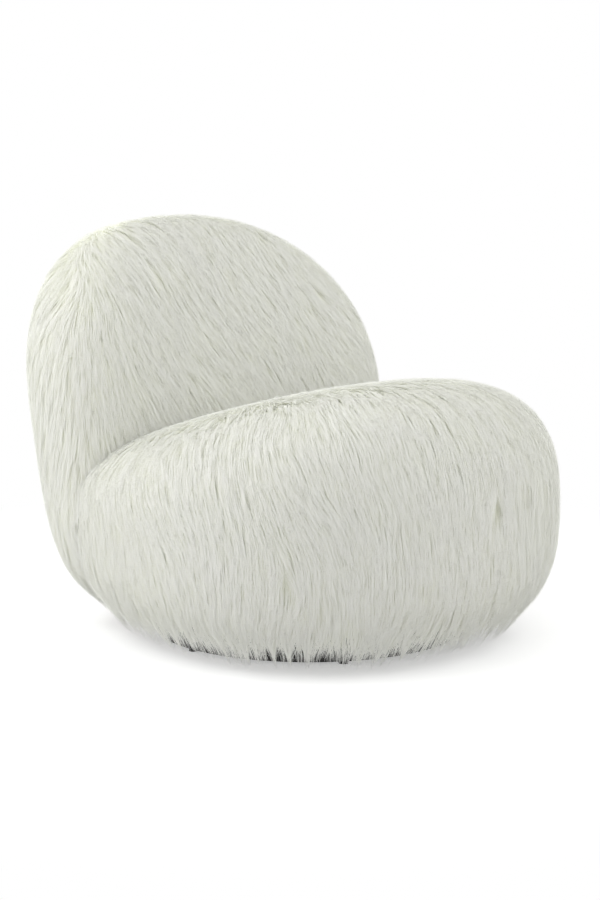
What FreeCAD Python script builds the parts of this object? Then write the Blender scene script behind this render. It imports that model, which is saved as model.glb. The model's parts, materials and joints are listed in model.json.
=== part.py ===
"""Low upholstered lounge chair in long-haired fur, turning on a hidden round plinth.

Millimetres, +Z up. The origin is on the floor, under the middle of the chair's overall
width and depth. The sitter faces -Y, and +X is at the sitter's left.
"""
import FreeCAD, Part
import math
import os

# Outer form of the seat, over the tips of the pile
seat_width = 798.0
seat_depth = 828.0
seat_centre_y = -52.0
seat_waist_height = 222.0
seat_crown = 190.0
seat_front_lift = 108.0
seat_tuck = 253.0
hem_height = 18.0
seat_side_roundness = 0.71
seat_plan_roundness = 0.883

# Outer form of the back, over the tips of the pile
back_width = 750.0
back_thickness = 328.0
back_setback = 334.0
back_waist_height = 378.0
back_crown = 331.0
back_foot_height = 20.0
back_lean = 12.2
back_wrap_radius = 1030.0
back_upper_roundness = 0.864
back_lower_roundness = 0.48
back_plan_roundness = 0.836

# Covers and foam
pile_thickness = 28.0
topper_thickness = 30.0
soft_gap = 0.3
seam_gap = 0.5
fringe_gap = 10.0
dust_cover_thickness = 0.8
dust_cover_margin = 2.5

# Plinth
plinth_radius = 273.0
plinth_wall = 18.0
plinth_ring_height = 45.0
plinth_board_thickness = 12.0
glide_diameter = 16.0
glide_height = 5.0
glide_count = 6
plinth_screw_count = 8
plinth_screw_length = 35.0
plinth_screw_start = 22.5

# Swivel plate
swivel_y = -40.0
swivel_plate_side = 165.0
swivel_plate_corner = 12.0
swivel_plate_thickness = 3.0
swivel_bolt_spacing = 140.0
race_radius = 56.0
race_width = 12.0
race_height = 2.5
ball_diameter = 6.0
ball_count = 24
ball_clearance = 0.05
ball_sink = 1.0
cage_thickness = 1.0
cage_width = 13.0
cage_hole_clearance = 0.15

# Kingpin that holds the two swivel plates together
kingpin_diameter = 12.0
kingpin_head_diameter = 24.0
kingpin_head_height = 4.0
kingpin_running_clearance = 0.05
kingpin_well_clearance = 3.0
bush_wall = 3.0
bush_drop = 2.0
bush_flange_width = 4.0
bush_flange_thickness = 2.0
washer_diameter = 28.0
washer_thickness = 2.0
lock_nut_width = 19.0
lock_nut_height = 10.0
running_gap = 0.3

# Screws and bolts
screw_diameter = 4.0
screw_head_diameter = 8.0
screw_head_height = 2.5
bolt_diameter = 6.0
bolt_head_diameter = 12.0
bolt_head_height = 4.0
tee_nut_flange = 20.0
tee_nut_thickness = 1.5
board_screw_length = 10.0
rail_screw_length = 75.0
post_screw_length = 60.0
bracket_screw_length = 12.0

# Seat frame
board_width = 560.0
board_depth = 620.0
board_corner = 180.0
board_thickness = 15.0
board_well_diameter = 60.0
deck_width = 450.0
deck_depth = 320.0
deck_front_y = -270.0
deck_rail_height = 236.0
rail_depth = 45.0
rail_thickness = 25.0
post_side = 40.0

# Springs and what lies on them
spring_count = 5
spring_wire = 4.0
spring_turn_radius = 9.0
spring_run = 34.0
clip_end_margin = 2.0
clip_depth = 12.0
clip_height = 8.0
clip_clearance = 0.1
pad_thickness = 6.0

# Back frame, laid out flat and then leaned with the back
back_frame_width = 380.0
back_frame_depth = 50.0
back_frame_offset = -5.0
back_post_width = 40.0
back_post_length = 380.0
back_cross_rail_heights = (60.0, 300.0)
back_cross_rail_height = 50.0
back_cross_rail_depth = 30.0
webbing_width = 50.0
webbing_thickness = 2.0
webbing_heights = (130.0, 200.0, 270.0, 340.0, 410.0, 480.0)
back_panel_thickness = 3.0
back_panel_margin = 5.0
bracket_width = 30.0
bracket_leg = 45.0
bracket_thickness = 3.0

# How finely the soft forms are described
arcs_round = 12
seat_latitudes = (10, 20, 30, 40, 50, 60, 70, 80, 86, 89.4)
back_latitudes = (12, 24, 36, 48, 60, 72, 81, 86, 89.4)
lower_bands = 6
blunt_foot_latitude = 86.0
far = 2000.0

# Heights that follow from the sizes above
ring_top = glide_height + plinth_ring_height
plinth_top = ring_top + plinth_board_thickness
lower_plate_top = plinth_top + swivel_plate_thickness
ball_centre_height = lower_plate_top + race_height - ball_sink + ball_diameter / 2
upper_plate_bottom = ball_centre_height + ball_diameter / 2 - ball_sink + race_height
board_bottom = upper_plate_bottom + swivel_plate_thickness
board_top = board_bottom + board_thickness
foam_bottom = board_top + soft_gap
clip_top = deck_rail_height + clip_height
pad_top = clip_top + pad_thickness
back_y = seat_centre_y + back_setback
lean_slope = math.tan(math.radians(back_lean))

vector = FreeCAD.Vector
up = vector(0, 0, 1)


def save(name, *shapes):
    """Write one sub-part, from one solid or from a group of separate solids."""
    solids = [solid for shape in shapes for solid in shape.Solids]
    shape = solids[0] if len(solids) == 1 else Part.makeCompound(solids)
    shape.exportStep(f"parts/{name}.step")


def block(x_low, x_high, y_low, y_high, z_low, z_high):
    """A box between six planes."""
    size = (x_high - x_low, y_high - y_low, z_high - z_low)
    return Part.makeBox(*size, vector(x_low, y_low, z_low))


def post(x, y, z_low, z_high, diameter):
    """An upright cylinder."""
    return Part.makeCylinder(diameter / 2, z_high - z_low, vector(x, y, z_low), up)


def on_axis(z_low, z_high, diameter):
    """A cylinder about the swivel axis."""
    return post(0, swivel_y, z_low, z_high, diameter)


def washer(z_low, z_high, outer, inner):
    """A flat ring about the swivel axis."""
    return on_axis(z_low, z_high, outer).cut(on_axis(z_low, z_high, inner))


def rounded_slab(width, depth, corner, centre_y, z_low, z_high):
    """A rectangular plate with rounded upright corners."""
    slab = block(-width / 2, width / 2, centre_y - depth / 2, centre_y + depth / 2, z_low, z_high)
    upright = [edge for edge in slab.Edges if abs(edge.BoundBox.ZLength - (z_high - z_low)) < 1e-6]
    return slab.makeFillet(corner, upright)


def around_axis(count, radius, start=0.0):
    """Points evenly spaced on a circle about the swivel axis."""
    for number in range(count):
        angle = math.radians(start + 360.0 * number / count)
        yield radius * math.cos(angle), swivel_y + radius * math.sin(angle)


def four_corners(spacing):
    """The corners of a square about the swivel axis."""
    half = spacing / 2
    return [(x, swivel_y + y) for x in (-half, half) for y in (-half, half)]


def power(value, exponent):
    """A signed power, for superellipses."""
    return math.copysign(abs(value) ** exponent, value)


def ring_of_arcs(place):
    """A closed outline of equal arcs through the points that place(angle) gives."""
    step = 2 * math.pi / arcs_round
    edges = []
    for number in range(arcs_round):
        angles = (number * step, (number + 0.5) * step, (number + 1) % arcs_round * step)
        edges.append(Part.Arc(*[place(angle) for angle in angles]).toShape())
    return Part.Wire(edges)


def latitude_at(share, roundness):
    """The latitude in degrees at which a superellipse reaches a share of its height."""
    return math.degrees(math.asin(min(share, 1.0) ** (1 / roundness)))


def seat_form(inset):
    """The seat's rounded drum, made smaller all round by inset and cut flat at the hem."""
    half_width = seat_width / 2 - inset
    half_depth = seat_depth / 2 - inset
    crown = seat_crown - inset
    tuck = seat_tuck - inset
    lowest = latitude_at((seat_waist_height - hem_height - inset) / tuck, seat_side_roundness)
    latitudes = [lowest * (step / lower_bands - 1) for step in range(lower_bands + 1)]

    def section(latitude):
        rise = power(math.sin(math.radians(latitude)), seat_side_roundness)
        reach = math.cos(math.radians(latitude)) ** seat_side_roundness

        def place(angle):
            x = half_width * reach * power(math.cos(angle), seat_plan_roundness)
            y = half_depth * reach * power(math.sin(angle), seat_plan_roundness)
            slope = seat_front_lift * y / half_depth
            z = rise * (crown - slope) if rise > 0 else rise * tuck
            return vector(x, seat_centre_y + y, seat_waist_height + z)

        return ring_of_arcs(place)

    return Part.makeLoft([section(value) for value in (*latitudes, *seat_latitudes)], True, False)


def back_form(inset):
    """The leaning back, wrapped a little round the sitter and rounded on all sides."""
    half_width = back_width / 2 - inset
    half_thickness = back_thickness / 2 - inset
    crown = back_crown - inset
    tuck = back_waist_height - back_foot_height - inset
    latitudes = [blunt_foot_latitude * (step / lower_bands - 1) for step in range(lower_bands + 1)]

    def section(latitude):
        roundness = back_upper_roundness if latitude > 0 else back_lower_roundness
        rise = power(math.sin(math.radians(latitude)), roundness)
        reach = math.cos(math.radians(latitude)) ** roundness
        height = rise * (crown if rise > 0 else tuck)

        def place(angle):
            x = half_width * reach * power(math.cos(angle), back_plan_roundness)
            y = half_thickness * reach * power(math.sin(angle), back_plan_roundness)
            wrap = x * x / (2 * back_wrap_radius)
            return vector(x, back_y + y + lean_slope * height - wrap, back_waist_height + height)

        return ring_of_arcs(place)

    return Part.makeLoft([section(value) for value in (*latitudes, *back_latitudes)], True, False)


def above(height):
    """All the space above a height."""
    return block(-far, far, -far, far, height, far)


def countersunk(x, y, top, length):
    """A wood screw with its head flush at top, pointing down."""
    head = Part.makeCone(
        screw_diameter / 2, screw_head_diameter / 2, screw_head_height,
        vector(x, y, top - screw_head_height), up,
    )
    return head.fuse(post(x, y, top - length, top, screw_diameter)).removeSplitter()


def countersunk_up(x, y, bottom, length):
    """The same wood screw driven upwards, its head flush at bottom."""
    screw = countersunk(x, y, bottom, length)
    return screw.rotate(vector(x, y, bottom), vector(1, 0, 0), 180)


def pan_head(x, y, seat, length):
    """A screw whose round head stands on seat, pointing down."""
    head = post(x, y, seat, seat + screw_head_height, screw_head_diameter)
    return head.fuse(post(x, y, seat - length, seat, screw_diameter)).removeSplitter()


def make_plinth():
    """The dark drum on the floor: glides, ring, board and the screws that join them."""
    ring_middle = plinth_radius - plinth_wall / 2
    glides = [
        post(x, y, 0, glide_height, glide_diameter)
        for x, y in around_axis(glide_count, ring_middle)
    ]
    save("floor_glides", *glides)
    screws = [
        countersunk(x, y, plinth_top, plinth_screw_length)
        for x, y in around_axis(plinth_screw_count, ring_middle, plinth_screw_start)
    ]
    ring = washer(glide_height, ring_top, 2 * plinth_radius, 2 * (plinth_radius - plinth_wall))
    board = on_axis(ring_top, plinth_top, 2 * plinth_radius)
    well = kingpin_head_diameter + 2 * kingpin_well_clearance
    board = board.cut([on_axis(ring_top, plinth_top, well), *screws])
    plate_screws = [
        pan_head(x, y, lower_plate_top, board_screw_length)
        for x, y in four_corners(swivel_bolt_spacing)
    ]
    save("plinth_ring", ring.cut(screws))
    save("plinth_top_board", board.cut(plate_screws))
    save("plinth_screws", *screws)
    save("lower_plate_screws", *plate_screws)
    return plate_screws


def swivel_plate(bottom, race_bottom):
    """A square plate with a raised ring that the balls run in."""
    top = bottom + swivel_plate_thickness
    plate = rounded_slab(
        swivel_plate_side, swivel_plate_side, swivel_plate_corner, swivel_y, bottom, top
    )
    race_outer = 2 * race_radius + race_width
    race_inner = 2 * race_radius - race_width
    race = washer(race_bottom, race_bottom + race_height, race_outer, race_inner)
    centre = vector(0, swivel_y, ball_centre_height)
    groove = Part.makeTorus(race_radius, ball_diameter / 2 + ball_clearance, centre, up)
    return plate.fuse(race).removeSplitter().cut(groove)


def make_swivel(plate_screws):
    """Two plates with balls between them, held together by a kingpin in a bush."""
    lower = swivel_plate(plinth_top, lower_plate_top)
    shank_hole = on_axis(0, board_top, kingpin_diameter)
    save("swivel_lower_plate", lower.cut([shank_hole, *plate_screws]))

    bush_outer = kingpin_diameter + 2 * bush_wall
    bush_bore = kingpin_diameter + 2 * kingpin_running_clearance
    flange_top = board_bottom + bush_flange_thickness
    bolts = []
    tee_nuts = []
    for x, y in four_corners(swivel_bolt_spacing):
        head = post(x, y, upper_plate_bottom - bolt_head_height, upper_plate_bottom, bolt_head_diameter)
        bolts.append(head.fuse(post(x, y, upper_plate_bottom, board_top, bolt_diameter)).removeSplitter())
        tee_nuts.append(post(x, y, board_top, board_top + tee_nut_thickness, tee_nut_flange))
    upper = swivel_plate(upper_plate_bottom, upper_plate_bottom - race_height)
    save("swivel_upper_plate", upper.cut([on_axis(0, board_top, bush_outer), *bolts]))
    save("upper_plate_bolts", *bolts)
    save("board_tee_nuts", *tee_nuts)

    flange_outer = bush_outer + 2 * bush_flange_width
    sleeve = on_axis(upper_plate_bottom - bush_drop, flange_top, bush_outer)
    flange = on_axis(board_bottom, flange_top, flange_outer)
    bush = sleeve.fuse(flange).removeSplitter().cut(on_axis(0, board_top, bush_bore))
    save("swivel_bush", bush)

    washer_bottom = flange_top + running_gap
    nut_bottom = washer_bottom + washer_thickness
    nut_top = nut_bottom + lock_nut_height
    head = on_axis(plinth_top - kingpin_head_height, plinth_top, kingpin_head_diameter)
    shank = on_axis(plinth_top - kingpin_head_height, nut_top, kingpin_diameter)
    save("swivel_kingpin", head.fuse(shank).removeSplitter())
    save("kingpin_washer", washer(washer_bottom, nut_bottom, washer_diameter, kingpin_diameter))
    corner_radius = lock_nut_width / math.sqrt(3)
    hexagon = Part.makePolygon([
        vector(corner_radius * math.cos(math.radians(60 * number)),
               swivel_y + corner_radius * math.sin(math.radians(60 * number)), nut_bottom)
        for number in (0, 1, 2, 3, 4, 5, 0)
    ])
    nut = Part.Face(hexagon).extrude(up * lock_nut_height)
    save("kingpin_lock_nut", nut.cut(shank))
    return bolts


def make_ball_bearing():
    """The balls and the thin ring that spaces them."""
    cage_bottom = ball_centre_height - cage_thickness / 2
    cage_top = cage_bottom + cage_thickness
    cage = washer(cage_bottom, cage_top, 2 * race_radius + cage_width, 2 * race_radius - cage_width)
    places = list(around_axis(ball_count, race_radius))
    hole = ball_diameter + 2 * cage_hole_clearance
    save("ball_cage", cage.cut([post(x, y, cage_bottom, cage_top, hole) for x, y in places]))
    balls = [Part.makeSphere(ball_diameter / 2, vector(x, y, ball_centre_height)) for x, y in places]
    save("bearing_balls", *balls)


def make_seat_frame(bolts):
    """Board, posts and rails under the seat, with the screws that join them."""
    inner = deck_width / 2 - post_side / 2
    front = deck_front_y + post_side / 2
    rear = deck_front_y + deck_depth - post_side / 2
    rail_bottom = deck_rail_height - rail_depth
    corners = [(x, y) for x in (-inner, inner) for y in (front, rear)]
    post_screws = [countersunk_up(x, y, board_bottom, post_screw_length) for x, y in corners]
    rail_screws = [countersunk(x, y, deck_rail_height, rail_screw_length) for x, y in corners]
    half = post_side / 2
    posts = [
        block(x - half, x + half, y - half, y + half, board_top, rail_bottom).cut(
            [*post_screws, *rail_screws]
        )
        for x, y in corners
    ]
    save("deck_posts", *posts)
    save("deck_post_screws", *post_screws)
    save("deck_rail_screws", *rail_screws)

    half_width = deck_width / 2
    front_rail = block(
        -half_width, half_width, deck_front_y, deck_front_y + post_side, rail_bottom, deck_rail_height
    )
    rear_rail = front_rail.translated(vector(0, deck_depth - post_side, 0))
    save("deck_front_rail", front_rail.cut(rail_screws))
    save("deck_rear_rail", rear_rail.cut(rail_screws))
    sides = [
        block(x, x + rail_thickness, deck_front_y + post_side,
              deck_front_y + deck_depth - post_side, rail_bottom, deck_rail_height)
        for x in (-half_width, half_width - rail_thickness)
    ]
    save("deck_side_rails", *sides)

    board = rounded_slab(board_width, board_depth, board_corner, swivel_y, board_bottom, board_top)
    board = board.cut([on_axis(board_bottom, board_top, board_well_diameter), *bolts, *post_screws])
    return board


def spring_path(x, y_first, y_last, height):
    """Straight runs across the seat joined by half turns, from the front clip to the rear one."""
    turns = 2 * round((y_last - y_first) / (4 * spring_turn_radius))
    pitch = (y_last - y_first) / turns
    radius = pitch / 2
    edges = []
    side = 1
    for number in range(turns + 1):
        y = y_first + number * pitch
        start = vector(x - side * spring_run / 2, y, height)
        end = vector(x + side * spring_run / 2, y, height)
        edges.append(Part.LineSegment(start, end).toShape())
        if number < turns:
            for first, middle, last in ((-90, -45, 0), (0, 45, 90)):
                points = [
                    end + vector(side * radius * math.cos(math.radians(angle)),
                                 radius + radius * math.sin(math.radians(angle)), 0)
                    for angle in (first, middle, last)
                ]
                edges.append(Part.Arc(*points).toShape())
        side = -side
    return Part.Wire(edges)


def make_springs():
    """Zigzag springs from the front rail to the rear rail, their clips and the pad on top."""
    height = deck_rail_height + clip_height / 2
    y_first = deck_front_y + post_side / 2
    y_last = deck_front_y + deck_depth - post_side / 2
    pitch = (deck_width - 2 * rail_thickness) / spring_count
    clip_reach = spring_run / 2 - clip_end_margin
    springs = []
    clips = []
    for number in range(spring_count):
        x = pitch * (number - (spring_count - 1) / 2)
        path = spring_path(x, y_first, y_last, height)
        start = vector(x - spring_run / 2, y_first, height)
        profile = Part.Wire(Part.Circle(start, vector(1, 0, 0), spring_wire / 2).toShape())
        springs.append(path.makePipeShell([profile], True, False))
        for y in (y_first, y_last):
            clips.append(block(x - clip_reach, x + clip_reach, y - clip_depth / 2, y + clip_depth / 2,
                               deck_rail_height, clip_top))
    bores = [
        Part.makeCylinder(spring_wire / 2 + clip_clearance, far, vector(-far / 2, y, height), vector(1, 0, 0))
        for y in (y_first, y_last)
    ]
    save("sinuous_springs", *springs)
    save("spring_clips", *[clip.cut(bores) for clip in clips])
    half_width = deck_width / 2
    pad = block(-half_width, half_width, deck_front_y, deck_front_y + deck_depth, clip_top, pad_top)
    save("insulator_pad", pad)


def leaned(shape):
    """Move a shape from the flat layout of the back frame to its leaning place.

    In the flat layout x is across, z runs up along the frame from the board, and y is
    the distance behind the frame's middle plane.
    """
    placed = shape.copy()
    placed.rotate(vector(0, 0, 0), vector(1, 0, 0), -back_lean)
    middle = back_y + back_frame_offset + lean_slope * (board_top - back_waist_height)
    placed.translate(vector(0, middle, board_top))
    return placed


def arch_plate(half_width, y_low, y_high, z_low):
    """A plate with straight sides and a round top, in the flat layout of the back frame."""
    straight = block(-half_width, half_width, y_low, y_high, z_low, back_post_length)
    disc = Part.makeCylinder(half_width, y_high - y_low, vector(0, y_low, back_post_length), vector(0, 1, 0))
    return straight.fuse(disc).removeSplitter()


def make_back_frame():
    """Posts, arch, cross rails, webbing, rear panel and the brackets at the feet."""
    half_width = back_frame_width / 2
    half_depth = back_frame_depth / 2
    inner = half_width - back_post_width
    foot = back_frame_depth
    over_board = above(board_top)
    posts = [
        leaned(block(x, x + back_post_width, -half_depth, half_depth, -foot, back_post_length))
        .common(over_board)
        for x in (-half_width, inner)
    ]

    centre = vector(0, -half_depth, back_post_length)
    along = vector(0, 1, 0)
    arch = Part.makeCylinder(half_width, back_frame_depth, centre, along)
    arch = arch.cut(Part.makeCylinder(inner, back_frame_depth, centre, along))
    save("back_arch_rail", leaned(arch.common(above(back_post_length))))

    half_rail = back_cross_rail_depth / 2
    rails = [
        leaned(block(-inner, inner, -half_rail, half_rail, height, height + back_cross_rail_height))
        for height in back_cross_rail_heights
    ]
    save("back_cross_rails", *rails)

    straps = []
    for height in webbing_heights:
        rise = max(height + webbing_width - back_post_length, 0)
        reach = math.sqrt(half_width ** 2 - rise ** 2)
        straps.append(leaned(block(
            -reach, reach, -half_depth - webbing_thickness, -half_depth, height, height + webbing_width
        )))
    save("back_webbing", *straps)

    panel = arch_plate(
        half_width - back_panel_margin, half_depth, half_depth + back_panel_thickness, back_panel_margin
    )
    save("back_panel", leaned(panel).common(over_board))

    brackets = []
    screws = []
    room = []
    for x in (-half_width + back_post_width / 2, half_width - back_post_width / 2):
        low = x - bracket_width / 2
        high = x + bracket_width / 2
        upright = leaned(block(low, high, -half_depth - bracket_thickness, -half_depth, -foot, bracket_leg))
        front_y = back_y + back_frame_offset + lean_slope * (board_top - back_waist_height) - half_depth
        flat = block(low, high, front_y - bracket_leg, front_y + half_depth, board_top, board_top + bracket_thickness)
        behind = leaned(block(low, high, -half_depth, back_frame_depth, -foot, bracket_leg))
        bracket = upright.common(over_board).fuse(flat.cut(behind)).removeSplitter()
        down = pan_head(x, front_y - bracket_leg / 2, board_top + bracket_thickness, bracket_screw_length)
        across = pan_head(x, 0, 0, bracket_screw_length)
        across.rotate(vector(x, 0, 0), vector(1, 0, 0), 90)
        across = leaned(across.translated(vector(0, -half_depth - bracket_thickness, bracket_leg / 2)))
        brackets.append(bracket.cut([down, across]))
        screws.extend([down, across])
        low_side = low - soft_gap
        high_side = high + soft_gap
        proud = bracket_thickness + screw_head_height + soft_gap
        room.append(block(low_side, high_side, front_y - bracket_leg - soft_gap, front_y + half_depth,
                          board_top, board_top + proud))
        room.append(leaned(block(low_side, high_side, -half_depth - proud, 0,
                                 -foot, bracket_leg + soft_gap)))
    save("back_posts", *[post.cut(screws) for post in posts])
    save("back_brackets", *brackets)
    save("bracket_screws", *screws)
    return screws, room


def make_back_foam(cavity, room):
    """Foam in front of the back frame, behind it and round its edge."""
    half_depth = back_frame_depth / 2
    front_face = -half_depth - webbing_thickness - soft_gap
    rear_face = half_depth + back_panel_thickness + soft_gap
    front_side = leaned(block(-far, far, -far, front_face, -far, far))
    rear_side = leaned(block(-far, far, rear_face, far, -far, far))
    middle = leaned(block(-far, far, front_face, rear_face, -far, far))
    outline = leaned(arch_plate(back_frame_width / 2 + soft_gap, front_face, rear_face, -far / 2))
    save("back_front_foam", cavity.common(front_side).cut(room))
    save("back_rear_foam", cavity.common(rear_side))
    save("back_edge_foam", cavity.common(middle).cut([outline, *room]))


def make_seat_foam(cavity, topper_core):
    """Foam round the deck, a firm block over the springs and a soft layer on top."""
    deck = block(
        -deck_width / 2 - soft_gap, deck_width / 2 + soft_gap,
        deck_front_y - soft_gap, deck_front_y + deck_depth + soft_gap, 0, pad_top,
    )
    cushion = cavity.common(above(pad_top))
    save("seat_side_foam", cavity.cut([deck, above(pad_top)]))
    save("seat_foam_block", cushion.common(topper_core))
    save("seat_soft_topper", cushion.cut(topper_core))


def make_upholstery(room):
    """The foam and the two fur covers, each made from the outer forms less what lies inside."""
    over_board = above(foam_bottom)
    board_space = rounded_slab(
        board_width + 2 * soft_gap, board_depth + 2 * soft_gap, board_corner, swivel_y,
        board_bottom - soft_gap, foam_bottom,
    )
    plinth_space = on_axis(-far, board_bottom, 2 * (plinth_radius + fringe_gap))
    base_space = plinth_space.fuse(board_space)
    back_outer = back_form(0)
    back_cavity = back_form(pile_thickness).common(over_board)
    back_keep_out = back_form(-seam_gap)
    seat_cavity = seat_form(pile_thickness).common(over_board)

    save("back_fur_cover", back_outer.cut(back_cavity).cut(base_space))
    save("seat_fur_cover", seat_form(0).cut(seat_cavity).cut(base_space).cut(back_keep_out))
    make_back_foam(back_form(pile_thickness + soft_gap).common(over_board), room)
    make_seat_foam(
        seat_form(pile_thickness + soft_gap).common(over_board).cut(back_keep_out),
        seat_form(pile_thickness + topper_thickness),
    )


def main():
    """Build every sub-part."""
    os.makedirs("parts", exist_ok=True)
    plate_screws = make_plinth()
    bolts = make_swivel(plate_screws)
    make_ball_bearing()
    board = make_seat_frame(bolts)
    make_springs()
    bracket_screws, room = make_back_frame()
    save("seat_bottom_board", board.cut(bracket_screws))
    dust_bottom = board_bottom - dust_cover_thickness
    dust_cover = on_axis(dust_bottom, board_bottom, 2 * plinth_radius)
    opening = swivel_plate_side / 2 + dust_cover_margin
    save("dust_cover", dust_cover.cut(block(
        -opening, opening, swivel_y - opening, swivel_y + opening, dust_bottom, board_bottom
    )))
    make_upholstery(room)


main()
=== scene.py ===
"""Looks of the fur lounge chair: backing cloth, combed fur, plinth and hidden hardware.

Metres, in the same frame as the model: +Z up, the sitter faces -Y.
"""
import json
import math

import bpy
import numpy as np
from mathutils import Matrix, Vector, kdtree


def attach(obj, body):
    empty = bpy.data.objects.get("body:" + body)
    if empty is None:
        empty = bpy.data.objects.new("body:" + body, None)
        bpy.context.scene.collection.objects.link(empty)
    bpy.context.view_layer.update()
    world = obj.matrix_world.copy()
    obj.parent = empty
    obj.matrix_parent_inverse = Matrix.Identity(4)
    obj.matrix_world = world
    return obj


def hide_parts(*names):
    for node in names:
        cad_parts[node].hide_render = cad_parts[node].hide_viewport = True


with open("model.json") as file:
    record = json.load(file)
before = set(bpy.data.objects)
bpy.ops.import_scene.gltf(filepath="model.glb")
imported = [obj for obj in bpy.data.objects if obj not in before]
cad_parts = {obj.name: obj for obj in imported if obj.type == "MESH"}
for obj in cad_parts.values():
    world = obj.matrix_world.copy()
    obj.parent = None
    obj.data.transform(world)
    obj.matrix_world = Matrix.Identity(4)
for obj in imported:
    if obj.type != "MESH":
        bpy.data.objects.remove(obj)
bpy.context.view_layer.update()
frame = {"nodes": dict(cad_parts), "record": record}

BACK_LEAN = 12.2

# The two rounded forms, over the tips of the pile, as the model has them
SEAT = {
    "half_width": 0.399, "half_depth": 0.414, "centre_y": -0.052, "waist": 0.222,
    "crown": 0.190, "tuck": 0.253, "lift": 0.108, "upper": 0.71, "lower": 0.71,
    "plan": 0.883, "slope": 0.0, "wrap": 0.0,
}
BACK = {
    "half_width": 0.375, "half_depth": 0.164, "centre_y": 0.282, "waist": 0.378,
    "crown": 0.331, "tuck": 0.358, "lift": 0.0, "upper": 0.864, "lower": 0.48,
    "plan": 0.836, "slope": math.tan(math.radians(BACK_LEAN)), "wrap": 1 / (2 * 1.030),
}
UNDERFUR_DEPTH = 0.008
PILE_LIFT = 0.0105
PLINTH_RADIUS = 0.273
PLINTH_TOP = 0.062
BOARD_BOTTOM = 0.077
SWIVEL_Y = -0.040
FRAME_FOOT = 0.092
STRAP_HEIGHTS = (0.130, 0.200, 0.270, 0.340, 0.410, 0.480)
SKIN_HEM = 0.074

# Fur: locks of strands that grow on the backing cloth, lie along it and hang at the hem
LOCK_SPACING = 0.0092
LOCK_RADIUS = LOCK_SPACING * 0.80
STRANDS_PER_LOCK = 12
STRAND_WIDTH = 0.00095
STRAND_SEGMENTS = 5
STRANDS_PER_PIECE = 19000
GUIDE_STEPS = 8
FUR_LENGTH = (0.055, 0.080)
HANG_HEIGHT = 0.088
FLOOR_CLEARANCE = (0.002, 0.016)
HEM_EXTRA_LENGTH = 0.4
TUFT_COUNT = 54
THIN_PLACE_SIZE = 0.13
THIN_PLACE_CUT = 0.050
UV_BANDS = 64

# Seeds of the random draws
HEM_SEED = 1459
SEAT_SEED = 11
BACK_SEED = 23

# Colours of the fibres at the root and towards the tip
FUR_ROOT = (0.952, 0.960, 0.870)
FUR_TIP = (0.989, 0.992, 0.973)

# Spots where the pile is combed apart
WHORL_SIZE = 0.017
WHORL_STRENGTH = 0.85
WHORLS = (
    (-0.315, -0.331, 0.180),
    (0.025, -0.464, 0.283),
    (-0.143, 0.224, 0.635),
    (0.200, 0.430, 0.350),
)

# Camera: degrees from straight ahead and above the level, and metres
CAMERA_LENS = 85
CAMERA_SHIFT = (-7.0 / 900, -15.0 / 900)
CAMERA_TARGET = (0, -0.0324, 0.340)
CAMERA_AZIMUTH = -42
CAMERA_ELEVATION = 8.6
CAMERA_DISTANCE = 3.71

# Light
LAMP_DISTANCE = 3.5
WORLD_LIGHT = 0.82
FLOOR_LIFT = 0.42
FLOOR_FADE = (0.55, 1.3)


def power(value, exponent):
    """A signed power, for superellipses."""
    return np.sign(value) * np.abs(value) ** exponent


def surface_point(form, latitude, angle, inset):
    """Points on a form that is made smaller all round by inset. Angles are in radians."""
    upper = latitude > 0
    roundness = np.where(upper, form["upper"], form["lower"])
    rise = power(np.sin(latitude), roundness)
    reach = np.abs(np.cos(latitude)) ** roundness
    across = reach * power(np.cos(angle), form["plan"])
    along = reach * power(np.sin(angle), form["plan"])
    x = (form["half_width"] - inset) * across
    y = (form["half_depth"] - inset) * along
    crown = form["crown"] - inset - form["lift"] * along
    height = rise * np.where(upper, crown, form["tuck"] - inset)
    y = form["centre_y"] + y + form["slope"] * height - form["wrap"] * x * x
    return np.stack([x, y, form["waist"] + height], -1)


def level(form, points, inset):
    """1 on the form's surface, less inside it and more outside."""
    x, y, z = points[..., 0], points[..., 1], points[..., 2]
    height = z - form["waist"]
    across = np.abs(x) / (form["half_width"] - inset)
    centre = form["centre_y"] + form["slope"] * height - form["wrap"] * x * x
    along = (y - centre) / (form["half_depth"] - inset)
    crown = np.maximum(form["crown"] - inset - form["lift"] * along, 0.02)
    upper = height > 0
    rise = np.abs(height) / np.where(upper, crown, form["tuck"] - inset)
    roundness = np.where(upper, form["upper"], form["lower"])
    plan = form["plan"]
    ring = (across ** (2 / plan) + np.abs(along) ** (2 / plan)) ** (plan / 2)
    return (ring ** (2 / roundness) + rise ** (2 / roundness)) ** (roundness / 2)


def slope_of(form, points, inset):
    """The gradient of level, by central differences."""
    step = 2e-4
    parts = []
    for axis in range(3):
        shift = np.zeros(3)
        shift[axis] = step
        parts.append(level(form, points + shift, inset) - level(form, points - shift, inset))
    return np.stack(parts, -1) / (2 * step)


def unit(vectors):
    """Vectors scaled to length one."""
    return vectors / np.maximum(np.linalg.norm(vectors, axis=-1, keepdims=True), 1e-9)


def settle(form, points, inset, rounds=2):
    """Points moved straight onto the form's surface."""
    for _ in range(rounds):
        gradient = slope_of(form, points, inset)
        size = np.maximum((gradient ** 2).sum(-1, keepdims=True), 1e-6)
        points = points - gradient * (level(form, points, inset)[..., None] - 1) / size
    return points


def push_out(form, points, inset):
    """Points that lie inside a form moved out to its surface."""
    inside = level(form, points, inset) < 1
    moved = points.copy()
    if inside.any():
        moved[inside] = settle(form, points[inside], inset)
    return moved


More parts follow.
